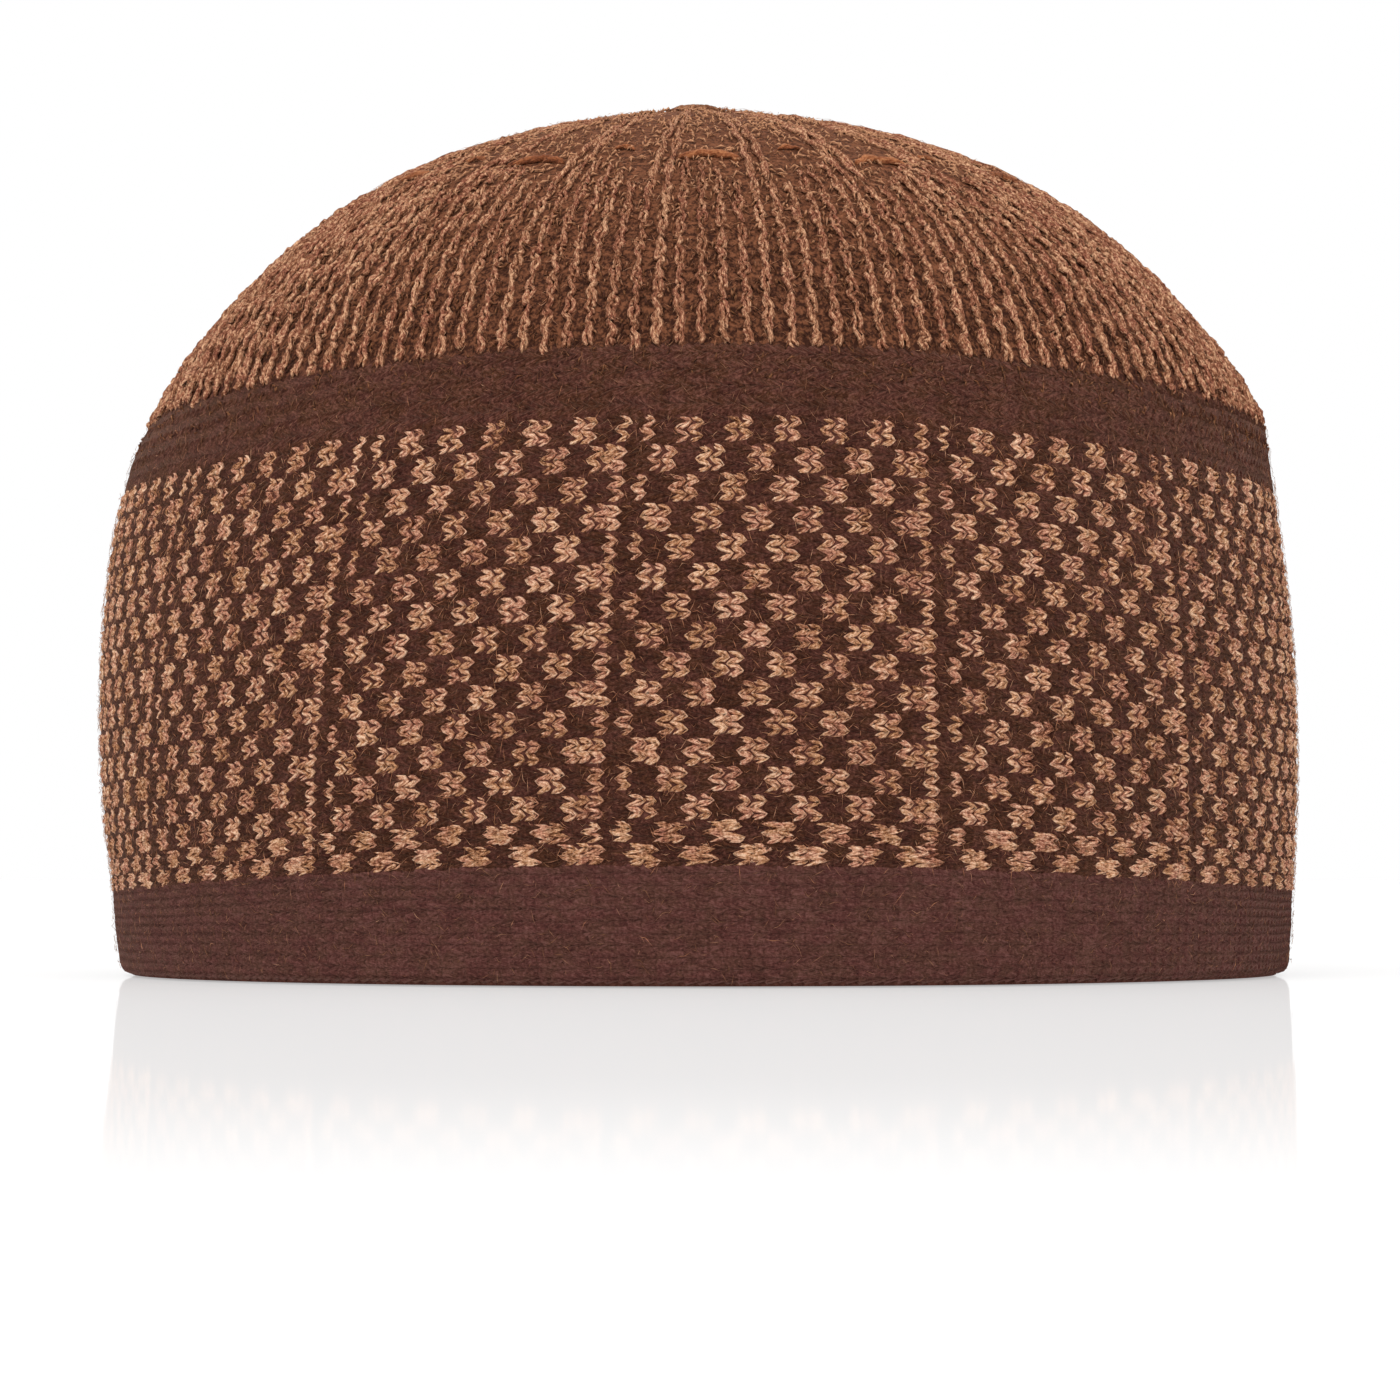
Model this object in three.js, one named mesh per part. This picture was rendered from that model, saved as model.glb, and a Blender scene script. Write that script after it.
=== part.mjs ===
// A knitted kufi, a round brimless cap. It is one fabric, worked sideways in thirteen gores,
// turned in at the hem and gathered to a small nub at the top, so it is one solid: a hollow
// shell, open below. Millimetres, +Z up. The origin is in the middle of the ring that the hem
// rests on, with the back seam towards +Y.
import * as THREE from 'three';
import { mergeVertices } from 'three/addons/utils/BufferGeometryUtils.js';

// ---- Driving dimensions --------------------------------------------------------------------

const depthRatio = 0.97; // front-to-back size of the plan against its width
const wallThickness = 2.6; // the knitted wall, one fabric thick
const hemThickness = 4.8; // the same fabric folded inside itself
const hemHeight = 15.3; // from the fold up to the turned-in edge
const hemEdgeSlope = 1.2; // height over which the turned-in edge thins out
const foldOutside = { width: 1.8, height: 2.5 }; // rounding of the fold at its outer corner
const foldInside = { width: 1.2, height: 1.8 }; // and at its inner corner

const gores = 13;
const sectorsPerGore = 6;
const gatherDepth = 0.8; // how deep the fabric sinks between two gores near the top
const gatherInner = 5.5; // radius where the gathers leave the nub
const gatherOuter = 46; // radius where they have died out

const ringsInCrownAndWall = 26;
const ringsInLining = 18;
const stepsInFold = 3;

const yarnBrown = '#57382e';

// Sections through the outside of the cap, from the hem to the crown. The radius is half the
// width, and the lean is how far the section's centre stands to the right of the origin.
const sections = [
  { name: 'hem above its fold', height: 2.5, radius: 91.0, lean: 0.9 },
  { name: 'hem', height: 8.0, radius: 91.5, lean: 0.7 },
  { name: 'turned-in edge', height: 15.5, radius: 91.9, lean: 0.6 },
  { name: 'lower wall', height: 25.0, radius: 92.7, lean: 0.2 },
  { name: 'widest part', height: 38.0, radius: 93.1, lean: 0.0 },
  { name: 'middle of the wall', height: 52.0, radius: 92.6, lean: -0.2 },
  { name: 'upper wall', height: 66.0, radius: 91.1, lean: -0.2 },
  { name: 'foot of the plain band', height: 79.0, radius: 88.7, lean: 0.4 },
  { name: 'shoulder', height: 84.0, radius: 87.2, lean: 1.2 },
  { name: 'top of the plain band', height: 88.0, radius: 85.3, lean: 1.4 },
  { name: 'foot of the crown', height: 94.0, radius: 81.6, lean: 1.4 },
  { name: 'lower crown', height: 101.0, radius: 76.1, lean: 1.3 },
  { name: 'crown', height: 108.0, radius: 69.6, lean: 1.3 },
  { name: 'crown bends over', height: 114.0, radius: 62.9, lean: 1.3 },
  { name: 'upper crown', height: 119.5, radius: 55.3, lean: 1.2 },
  { name: 'gathers deepen', height: 124.0, radius: 47.0, lean: 1.1 },
  { name: 'flat of the crown', height: 128.0, radius: 37.0, lean: 0.9 },
  { name: 'inner gathers', height: 131.0, radius: 26.6, lean: 0.6 },
  { name: 'round the nub', height: 133.4, radius: 15.0, lean: 0.1 },
  { name: 'foot of the nub', height: 134.9, radius: 6.0, lean: -0.4 },
];

// The gathered nub that closes the top.
const nubSections = [
  { name: 'side of the nub', height: 135.9, radius: 4.3, lean: -0.6 },
  { name: 'edge of its top', height: 136.4, radius: 2.4, lean: -0.6 },
  { name: 'top', height: 136.5, radius: 0.0, lean: -0.6 },
];

// ---- Profile -------------------------------------------------------------------------------

// A profile point keeps its radius in x, its height in y and its lean in z.
const toPoint = ({ radius, height, lean }) => new THREE.Vector3(radius, height, lean);

const outsideCurve = new THREE.CatmullRomCurve3(sections.map(toPoint), false, 'centripetal');

// A point of the outside moved square to the profile, inwards by the given thickness.
function insidePoint(share, thickness) {
  const point = outsideCurve.getPointAt(share);
  const along = outsideCurve.getTangentAt(share);
  const length = Math.hypot(along.x, along.y);
  return new THREE.Vector3(
    point.x - (thickness * along.y) / length,
    point.y + (thickness * along.x) / length,
    point.z,
  );
}

// The share of the outside's length at which it reaches a given height.
function shareAtHeight(height) {
  let low = 0;
  let high = 1;
  while (high - low > 1e-6) {
    const middle = (low + high) / 2;
    if (outsideCurve.getPointAt(middle).y < height) low = middle;
    else high = middle;
  }
  return low;
}

// A quarter turn of the fold, from its upright side down to the flat that rests, both included.
function foldCorner(side, towardsMiddle, { width, height }) {
  const corner = [];
  for (let step = 0; step <= stepsInFold; step += 1) {
    const turn = (step / stepsInFold) * (Math.PI / 2);
    const inwards = towardsMiddle * width * (1 - Math.cos(turn));
    corner.push(new THREE.Vector3(side.x - inwards, height * (1 - Math.sin(turn)), side.z));
  }
  return corner;
}

function outsideProfile() {
  const points = [];
  for (let ring = 0; ring <= ringsInCrownAndWall; ring += 1) {
    points.push(outsideCurve.getPointAt(ring / ringsInCrownAndWall));
  }
  const corner = foldCorner(points[0], 1, foldOutside).reverse();
  return [...corner, ...points.slice(1), ...nubSections.map(toPoint)];
}

// The inside runs up the folded hem, over its turned-in edge and on under the crown.
function insideProfile() {
  const hemSide = toPoint(sections[0]);
  hemSide.x -= hemThickness;
  const hemEdge = insidePoint(shareAtHeight(hemHeight), hemThickness);
  const start = shareAtHeight(hemHeight + hemEdgeSlope);
  const points = [];
  for (let ring = 0; ring < ringsInLining; ring += 1) {
    points.push(insidePoint(start + (1 - start) * (ring / ringsInLining), wallThickness));
  }
  const top = insidePoint(1, wallThickness);
  top.x = 0;
  const corner = foldCorner(hemSide, -1, foldInside).reverse();
  return [...corner, hemEdge, ...points, top];
}

// ---- Solid ---------------------------------------------------------------------------------

// How far the fabric sinks between the gores, at a radius and an angle round the cap.
function gatherSink(radius, angle) {
  if (radius <= gatherInner || radius >= gatherOuter) return 0;
  const share = (radius - gatherInner) / (gatherOuter - gatherInner);
  const fade = Math.sin(Math.PI * Math.sqrt(share)) ** 2;
  const betweenGores = Math.abs(Math.cos((gores * angle) / 2)) ** 3;
  return gatherDepth * fade * betweenGores;
}

function buildShell() {
  const outside = outsideProfile().reverse();
  const profile = [...outside, ...insideProfile()];
  const turned = profile.map((point) => new THREE.Vector2(point.x, point.y));
  const sectors = gores * sectorsPerGore;
  const geometry = new THREE.LatheGeometry(turned, sectors);
  geometry.rotateX(Math.PI / 2);
  const position = geometry.getAttribute('position');
  for (let index = 0; index < position.count; index += 1) {
    const row = index % profile.length;
    const { x: radius, y: height, z: lean } = profile[row];
    const sector = Math.floor(index / profile.length) % sectors;
    const angle = (sector / sectors) * Math.PI * 2;
    const sink = row < outside.length ? gatherSink(radius, angle) : 0;
    // The sectors start at the back seam and run round by the right side.
    position.setXYZ(
      index,
      radius * Math.sin(angle) + lean,
      radius * Math.cos(angle) * depthRatio,
      height - sink,
    );
  }
  geometry.deleteAttribute('normal');
  geometry.deleteAttribute('uv');
  const merged = mergeVertices(geometry, 1e-5);
  merged.computeVertexNormals();
  return merged;
}

const knit = new THREE.MeshStandardMaterial({ color: yarnBrown, roughness: 0.95, metalness: 0 });
const cap = new THREE.Mesh(buildShell(), knit);
cap.name = 'knitted_cap';

const kufi = new THREE.Group();
kufi.add(cap);

export default kufi;
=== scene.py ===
"""Builds the look of a knitted kufi round its solid: the shell of the fabric, the stitches of
its hem, wall and band, the stripes and ridges of the crown, the nub, and the loose hairs.

The cap is worked sideways, so a course is one column of stitches from the hem to the top, and a
wale is one row of them round the head. A place on the fabric is a course, counted from the back
seam round by the left side, a distance up the fabric from the fold of the hem, and a lift out of
its face. Lengths are in metres, and the front of the cap faces -Y.
"""

import math

import bpy
import numpy as np
from bpy.props import FloatProperty, FloatVectorProperty, IntProperty, PointerProperty
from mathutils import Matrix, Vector


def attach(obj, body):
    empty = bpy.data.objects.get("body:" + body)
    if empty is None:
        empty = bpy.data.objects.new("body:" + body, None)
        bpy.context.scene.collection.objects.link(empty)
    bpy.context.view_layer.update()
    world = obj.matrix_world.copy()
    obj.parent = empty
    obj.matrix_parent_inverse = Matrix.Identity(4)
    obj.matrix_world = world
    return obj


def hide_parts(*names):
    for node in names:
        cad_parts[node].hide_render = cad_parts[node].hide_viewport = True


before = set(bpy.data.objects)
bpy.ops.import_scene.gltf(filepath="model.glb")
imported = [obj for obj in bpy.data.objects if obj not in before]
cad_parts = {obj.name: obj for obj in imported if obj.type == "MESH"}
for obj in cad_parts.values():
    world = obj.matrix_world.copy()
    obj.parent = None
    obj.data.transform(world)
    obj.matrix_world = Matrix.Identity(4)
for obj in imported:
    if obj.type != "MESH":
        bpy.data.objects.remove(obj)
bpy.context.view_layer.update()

bl_info = {
    "name": "Knitted Kufi",
    "version": (1, 0, 0),
    "blender": (4, 5, 0),
    "location": "View3D > Sidebar > Kufi",
    "description": "Builds a knitted kufi stitch by stitch",
    "category": "Object",
}

SOLID = "knitted_cap"
MM = 0.001

# ---- Sizes of the cap ----

# Sections through the outside, in millimetres: height, half the width, and how far the middle
# of the section stands to the right.
SECTIONS = (
    ("hem above its fold", 2.5, 91.0, 0.9),
    ("hem", 8.0, 91.5, 0.7),
    ("turned-in edge", 15.5, 91.9, 0.6),
    ("lower wall", 25.0, 92.7, 0.2),
    ("widest part", 38.0, 93.1, 0.0),
    ("middle of the wall", 52.0, 92.6, -0.2),
    ("upper wall", 66.0, 91.1, -0.2),
    ("foot of the plain band", 79.0, 88.7, 0.4),
    ("shoulder", 84.0, 87.2, 1.2),
    ("top of the plain band", 88.0, 85.3, 1.4),
    ("foot of the crown", 94.0, 81.6, 1.4),
    ("lower crown", 101.0, 76.1, 1.3),
    ("crown", 108.0, 69.6, 1.3),
    ("crown bends over", 114.0, 62.9, 1.3),
    ("upper crown", 119.5, 55.3, 1.2),
    ("gathers deepen", 124.0, 47.0, 1.1),
    ("flat of the crown", 128.0, 37.0, 0.9),
    ("inner gathers", 131.0, 26.6, 0.6),
    ("round the nub", 133.4, 15.0, 0.1),
    ("foot of the nub", 134.9, 6.0, -0.4),
    ("middle", 135.2, 0.0, -0.6),
)
FOLD_WIDTH = 1.8 * MM
FOLD_HEIGHT = 2.5 * MM
DEPTH_RATIO = 0.97
WALL = 2.6 * MM
HEM_WALL = 4.8 * MM
HEM_HEIGHT = 15.3 * MM
SHOULDER = 84.0 * MM

GORES = 13
COURSES_PER_GORE = 25
COURSES = GORES * COURSES_PER_GORE
SEAM_ANGLE = math.radians(-172.9)

# How the worn fabric has settled. Its courses turn a little as they rise, stand wider apart low
# in front, and crowd towards the left side higher up. Its rows sink at both sides. The stripes
# of the crown stand more upright at the sides than the dome under them.
SETTLE_MIDDLE = 50.0 * MM
SETTLE_SPAN = 40.0 * MM
TURN = math.radians(-0.6)
TURN_UP = math.radians(1.2)
FULLNESS = math.radians(1.7)
FULLNESS_UP = math.radians(-3.4)
CROWDING = math.radians(2.4)
SIDE_CROWDING = math.radians(-3.3)
DRIFT_END = (80.0 * MM, 91.0 * MM)
SIDE_DROP = 5.8 * MM
ROW_DROP = 0.45 * MM
ROW_RISE = 0.4 * MM
ROW_SPREAD = 1.6 * MM
DROP_FROM = 26.0 * MM
DROP_END = (92.0 * MM, 120.0 * MM)
CROWN_FULLNESS = math.radians(4.6)
CROWN_FULL_FROM = (86.0 * MM, 110.0 * MM)
CROWN_FULL_END = (116.0 * MM, 132.0 * MM)

# Heights where one stripe of the wall ends and the next begins.
HEM_FOOT = 0.3 * MM
HEM_TOP = 16.6 * MM
CHECKS_FOOT = 23.0 * MM
CHECKS_TOP = 79.4 * MM
BAND_TOP = 88.9 * MM
HEM_WALES = 10
LOW_ROWS = 2
CHECK_ROWS = 14
WALES_PER_ROW = 2
BAND_WALES = 4

GROUND = -0.4 * MM
CHECK_RISE = -0.02 * MM
CHECK_SQUEEZE = 0.92
# How much darker the brown stitches among the checks are: painted shade, for the shadow of the
# tan stitches that stand proud of them.
PAINTED_SHADE_TONE = 0.2

# The crown: the radius at which its stripes end at the ridges, and the course of the first ridge.
# Between two radii the stripes fade, and between two the wisps among them go from darker to
# lighter: painted shade between the stripes low down, and painted light from above near the top.
# It sinks a little between the gores, and a nub closes it.
RIDGE_RADIUS = 51.8 * MM
RIDGES = 2 * GORES
RIDGE_OFFSET = 6.0
STRIPE_LIFT = -0.3 * MM
STRIPES_FADE = (76.0 * MM, 50.0 * MM)
TUFTS = 11000
TUFT_LIFT = -0.5 * MM
TUFTS_LIGHTEN = (88.0 * MM, 52.0 * MM)
GATHER_INNER = 5.5 * MM
GATHER_OUTER = 46.0 * MM
GATHER_DEPTH = 0.8 * MM
NUB_RADIUS = 4.2 * MM
BODY_RADIUS = 88.0 * MM

# How wide the strands of each stripe and piece are, in widths of the yarn.
HEM_YARNS = 2.2
GROUND_YARNS = 2.1
BAND_YARNS = 2.6
CHECK_YARNS = 1.4
STRIPE_YARNS = 1.95
TUFT_YARNS = 0.45
RIDGE_YARNS = 2.0
NUB_YARNS = 1.35

# The shell: how far it lies under the face, the radius of its smallest ring, which closes to a
# point, and how many rings it has outside and inside.
SHELL_SINK = 0.5 * MM
SMALLEST_RING = 1.5 * MM
OUTER_RINGS = 44
INNER_RINGS = 28

# No yarn hangs lower than this, and loose hairs stand out of the fabric only further up, clear
# of the fold.
LOWEST_YARN = 0.05 * MM
HAIR_FOOT = 2.5 * MM


def curve_through(points, steps=14):
    """A centripetal Catmull-Rom curve through the points, as many short lines."""
    ends = np.vstack([2 * points[0] - points[1], points, 2 * points[-1] - points[-2]])
    share = np.linspace(0.0, 1.0, steps, endpoint=False)[:, None]
    pieces = []
    for a, b, c, d in zip(ends, ends[1:], ends[2:], ends[3:]):
        ab, bc, cd = (math.sqrt(np.linalg.norm(q - p)) for p, q in ((a, b), (b, c), (c, d)))
        out_of_b = ((b - a) / ab - (c - a) / (ab + bc) + (c - b) / bc) * bc
        into_c = ((c - b) / bc - (d - b) / (bc + cd) + (d - c) / cd) * bc
        square = 3 * (c - b) - 2 * out_of_b - into_c
        cube = 2 * (b - c) + out_of_b + into_c
        pieces.append(b + out_of_b * share + square * share**2 + cube * share**3)
    return np.vstack([*pieces, points[-1]])


def smooth_share(value, low, high):
    """How far a value has come from low to high, from 0 to 1, easing at both ends."""
    share = np.clip((value - low) / (high - low), 0.0, 1.0)
    return share * share * (3 - 2 * share)


MEASURES = ("radius", "height", "lean", "normal_out", "normal_up")


class Fabric:
    """The outside of the cap, from the fold of the hem to the middle of the top."""

    def __init__(self):
        table = np.array([[radius, height, lean] for _, height, radius, lean in SECTIONS]) * MM
        side = table[0]
        turn = np.linspace(0.0, math.pi / 2, 6, endpoint=False)
        fold = np.column_stack([
            side[0] - FOLD_WIDTH * (1 - np.sin(turn)),
            FOLD_HEIGHT * (1 - np.cos(turn)),
            np.full(len(turn), side[2]),
        ])
        outline = np.vstack([fold, curve_through(table)])
        steps = np.hypot(*np.diff(outline[:, :2], axis=0).T)
        self.distance = np.concatenate([[0.0], np.cumsum(steps)])
        self.radius, self.height, self.lean = outline.T
        along = np.gradient(outline[:, :2], self.distance, axis=0)
        length = np.hypot(along[:, 0], along[:, 1])
        self.normal_out = along[:, 1] / length
        self.normal_up = -along[:, 0] / length
        self.length = self.distance[-1]

    def at_height(self, height):
        """The distance up the fabric at which the outside reaches a height."""
        return np.interp(height, self.height, self.distance)

    def at_radius(self, radius):
        """The distance up the fabric at which the crown narrows to a radius."""
        crown = self.height > SHOULDER
        return np.interp(-radius, -self.radius[crown], self.distance[crown])

    def at(self, distance, *measures):
        """What each named measure of the outside is, at a distance up it."""
        return [np.interp(distance, self.distance, getattr(self, name)) for name in measures]

    def radius_at(self, distance):
        return self.at(distance, "radius")[0]

    def height_at(self, distance):
        return self.at(distance, "height")[0]

    def settled(self, course, distance):
        """The angle round the cap, from the front towards the right side, and the distance up
        its face, that a course and a distance on the unworn fabric have come to."""
        angle = SEAM_ANGLE + course * (2 * math.pi / COURSES)
        side = np.sin(angle)
        height = self.height_at(distance)
        rise = np.clip((height - SETTLE_MIDDLE) / SETTLE_SPAN, -0.8, 1.0)
        drift = TURN + TURN_UP * rise + (FULLNESS + FULLNESS_UP * rise) * side
        drift = drift + CROWDING * side**2 + SIDE_CROWDING * side**3
        crown = smooth_share(height, *CROWN_FULL_FROM) - smooth_share(height, *CROWN_FULL_END)
        angle = angle + drift * (1 - smooth_share(height, *DRIFT_END))
        angle = angle + CROWN_FULLNESS * side * crown
        drop = ROW_DROP - ROW_RISE * rise - ROW_SPREAD * rise**2 + SIDE_DROP * side**2
        drop = drop * smooth_share(height, 0.0, DROP_FROM)
        drop = drop * (1 - smooth_share(height, *DROP_END))
        return angle, distance + self.at_height(height - drop) - self.at_height(height)

    def normal(self, course, distance):
        angle, distance = self.settled(course, distance)
        out, up = self.at(distance, "normal_out", "normal_up")
        return np.stack([out * np.sin(angle), -out * np.cos(angle), up], axis=-1)

    def place(self, course, distance, lift):
        """The point of each course, distance and lift."""
        angle, distance = self.settled(course, distance)
        radius, height, lean, out, up = self.at(distance, *MEASURES)
        height = height - gather_sink(radius, angle) + lift * up
        radius = radius + lift * out
        across = radius * np.sin(angle) + lean
        return np.stack([across, -radius * np.cos(angle) * DEPTH_RATIO, height], axis=-1)

    def stitch_width(self, distance):
        return 2 * math.pi * self.radius_at(distance) / COURSES


def gather_sink(radius, angle):
    """How far the fabric sinks between the gores near the top."""
    share = np.clip((radius - GATHER_INNER) / (GATHER_OUTER - GATHER_INNER), 0.0, 1.0)
    fade = np.sin(math.pi * np.sqrt(share)) ** 2
    between_gores = np.abs(np.cos(GORES * (angle + math.pi) / 2)) ** 3
    return GATHER_DEPTH * fade * between_gores


FABRIC = Fabric()

# ---- Yarn ----


class Strands:
    """Lengths of yarn lying on the fabric. Each is a row of stations, and each station has a
    course, a distance, a lift, a width and a tone that tells its colour from its neighbours'."""

    def __init__(self, *fields):
        shape = np.broadcast_shapes(*(np.shape(field) for field in fields[:3]))
        self.fields = [np.broadcast_to(field, shape).astype(float) for field in fields]
        self.course, self.distance, self.lift, self.width, self.tone = self.fields

    def chosen(self, keep):
        """The strands that a mask keeps."""
        return Strands(*(field[keep] for field in self.fields))


def joined(lots):
    """Several lots of strands as one."""
    return Strands(*(np.concatenate(parts) for parts in zip(*(lot.fields for lot in lots))))


# Stations from one node of a rounded strand to the next, and from one patch of tone of a ply to
# the next, and how wide a ply is for its strand.
LEG_STEPS = 3
PATCH_STEPS = 6
PLY_WIDTH = 0.72

# How far along a leg of yarn its stations stand, and how full it is at each.
ROUND_LEG = ((0.0, 0.05, 0.5, 0.95, 1.0), (0.0, 0.84, 1.0, 0.84, 0.0))
HAIR = ((0.0, 0.5, 1.0), (0.0, 1.0, 0.0))

# The section of a strand: the angles of its corners, from its right side over its face, how thick
# it is for its width, and whether it is shaded round.
FOUR_SIDES = ((-0.35, 1.0, 2.14, 3.5), 1.0, True)
THREE_SIDES = ((-0.52, 1.57, 3.66), 0.85, True)
FLAT_SIDES = ((-0.3, 1.57, 3.44), 0.26, False)


def legs(start, end, arch, bow, width, tone, shape):
    """Strands that run from one place to another, arch out of the fabric between them and bow
    up it."""
    share, fullness = (np.array(values) for values in shape)
    swell = 4 * share * (1 - share)
    columns = (np.reshape(value, (-1, 1)) for value in (*start, *end, arch, bow, width, tone))
    from_course, low, from_lift, to_course, high, to_lift, arch, bow, width, tone = columns
    course = from_course + (to_course - from_course) * share
    distance = np.minimum(low + (high - low) * share + bow * swell, FABRIC.length)
    lift = from_lift + (to_lift - from_lift) * share + arch * swell
    return Strands(course, distance, lift, width * fullness, tone)


def unit(vectors):
    length = np.linalg.norm(vectors, axis=-1, keepdims=True)
    return vectors / np.maximum(length, 1e-12)


def yarn_length(middles):
    """How far along each strand its stations are, in millimetres."""
    steps = np.linalg.norm(np.diff(middles, axis=1), axis=-1) / MM
    return np.concatenate([np.zeros((len(middles), 1)), np.cumsum(steps, axis=1)], axis=1)


def frames(middles, normals):
    """The directions aside of each strand, in the fabric, and out of its face."""
    along = unit(np.gradient(middles, axis=1))
    aside = unit(np.cross(along, normals))
    return aside, np.cross(aside, along)


def plied(middles, normals, plies, twist, radius, rng):
    """The middles of the plies that each strand is twisted from, by so much a millimetre."""
    aside, out = frames(middles, normals)
    turn = twist * yarn_length(middles) + 2 * math.pi * rng.random((len(middles), 1))
    found = []
    for ply in range(plies):
        angle = (turn + 2 * math.pi * ply / plies)[..., None]
        away = radius * (1 + 0.25 * rng.normal(size=angle.shape))
        found.append(middles + away * (np.cos(angle) * aside + 0.8 * np.sin(angle) * out))
    return np.concatenate(found)


def yarn_points(middles, normals, width, section):
    """Rings of points round every strand, between a point at each of its ends, and for each
    point its place in the yarn: how far along it, and how far aside and out, in millimetres."""
    turns, thickness, smooth = section
    aside, out = (way[:, 1:-1, None] for way in frames(middles, normals))
    turns = np.array(turns)[None, None, :, None]
    size = width[:, 1:-1, None, None] / 2
    shift = size * np.concatenate([np.cos(turns), thickness * np.sin(turns)], axis=-1)
    rings = middles[:, 1:-1, None] + shift[..., :1] * aside + shift[..., 1:] * out
    count, stations, sides = rings.shape[:3]
    reached = yarn_length(middles) + (np.arange(count) * 3.7)[:, None] % 977.0
    along = np.broadcast_to(reached[:, 1:-1, None, None], (count, stations, sides, 1))
    local = np.concatenate([along, shift / MM], axis=-1)
    ends = np.zeros((count, 2, 3))
    ends[:, :, 0] = reached[:, [0, -1]]
    points = [middles[:, :1], rings.reshape(count, -1, 3), middles[:, -1:]]
    local = [ends[:, :1], local.reshape(count, -1, 3), ends[:, 1:]]
    return np.concatenate(points, axis=1), np.concatenate(local, axis=1)


def yarn_faces(count, sides, rings):
    """The corners of every face: fans at the two ends and quads between the rings."""
    here = np.arange(sides)
    after = (here + 1) % sides
    last = 1 + sides * rings
    final = last - sides
    head = np.stack([1 + here, 1 + after, np.zeros(sides, int)], axis=1)
    tail = np.stack([final + after, final + here, np.full(sides, last)], axis=1)
    fans = np.vstack([head, tail])
    low = (1 + sides * np.arange(rings - 1))[:, None]
    high = low + sides
    quads = np.stack([low + here, high + here, high + after, low + after], axis=-1)
    step = (np.arange(count) * (last + 1))[:, None, None]
    return (fans + step).reshape(-1, 3), (quads.reshape(-1, 4) + step).reshape(-1, 4)


def add_object(name, data):
    thing = bpy.data.objects.new(name, data)
    bpy.context.scene.collection.objects.link(thing)
    return thing


def mesh_from(name, points, triangles, quads, smooth):
    """One object at the origin, shaded smooth or flat."""
    mesh = bpy.data.meshes.new(name)
    corners = np.concatenate([triangles.ravel(), quads.ravel()]).astype(np.int32)
    sizes = np.concatenate([np.full(len(triangles), 3), np.full(len(quads), 4)])
    starts = np.concatenate([[0], np.cumsum(sizes)[:-1]]).astype(np.int32)
    mesh.vertices.add(len(points))
    mesh.vertices.foreach_set("co", points.astype(np.float32).ravel())
    mesh.loops.add(len(corners))
    mesh.loops.foreach_set("vertex_index", corners)
    mesh.polygons.add(len(starts))
    mesh.polygons.foreach_set("loop_start", starts)
    mesh.polygons.foreach_set("use_smooth", np.full(len(starts), smooth))
    mesh.update(calc_edges=True)
    return add_object(name, mesh)


def add_attribute(mesh, name, kind, values):
    layer = mesh.attributes.new(name, kind, "POINT")
    field = "vector" if kind == "FLOAT_VECTOR" else "value"
    layer.data.foreach_set(field, values.astype(np.float32).ravel())


def yarn_piece(name, strands, section, yarn, plies=1, twist=0.75, ply_radius=0.2):
    """One object that holds many strands of a yarn, each of one ply or more."""
    middles = FABRIC.place(strands.course, strands.distance, strands.lift)
    normals = FABRIC.normal(strands.course, strands.distance)
    tone = strands.tone
    width = strands.width
    if plies > 1:
        rng = np.random.default_rng(len(tone))
        middles = plied(middles, normals, plies, twist, ply_radius * np.median(width), rng)
        normals = np.tile(normals, (plies, 1, 1))
        stations = middles.shape[1]
        patches = rng.random((len(middles), 1 + stations // PATCH_STEPS))
        tone = 0.5 * np.tile(tone, (plies, 1))
        tone = tone + 0.5 * np.repeat(patches, PATCH_STEPS, axis=1)[:, :stations]
        uneven = 1 + 0.1 * rng.normal(size=(len(tone), 1))
        width = np.tile(width, (plies, 1)) * PLY_WIDTH * uneven
    points, yarn_place = yarn_points(middles, normals, width, section)
    sides = len(section[0])
    triangles, quads = yarn_faces(len(middles), sides, middles.shape[1] - 2)
    points = points.reshape(-1, 3)
    points[:, 2] = np.maximum(points[:, 2], LOWEST_YARN)
    piece = mesh_from(name, points, triangles, quads, section[2])
    add_attribute(piece.data, "yarn_place", "FLOAT_VECTOR", yarn_place.reshape(-1, 3))
    tones = [tone[:, :1], np.repeat(tone[:, 1:-1], sides, axis=1), tone[:, -1:]]
    add_attribute(piece.data, "tone", "FLOAT", np.concatenate(tones, axis=1))
    settle(piece, wool(yarn))


def settle(piece, material):
    """Gives a piece its finish and says what it rides on and stands for."""
    piece.data.materials.clear()
    piece.data.materials.append(material)
    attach(piece, "root")
    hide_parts(SOLID)


def stitches(course, middle, height, rng, width, lift):
    """Plain sideways stitches: each is a strand that runs from its left down to a tip on its
    right and back. course and middle tell where its middle is, and height how tall its wale."""
    count = len(course)
    shake = rng.normal(size=(5, count, 1))
    across = np.array([-0.76, -0.56, 0.76, -0.56, -0.76]) * (1 + 0.05 * shake[0])
    up = np.array([0.47, 0.38, 0.0, -0.38, -0.47]) + 0.03 * shake[1]
    out = np.array([-0.12, -0.02, 0.0, -0.02, -0.12]) * MM
    fullness = np.array([0.0, 1.0, 1.0, 1.0, 0.0]) * (1 + 0.06 * shake[2])
    tone = 0.3 + 0.4 * rng.random((count, 1))
    return Strands(course[:, None] + across, middle[:, None] + height * up,
                   lift + out + 0.04 * MM * shake[3], width * fullness, tone)


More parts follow.
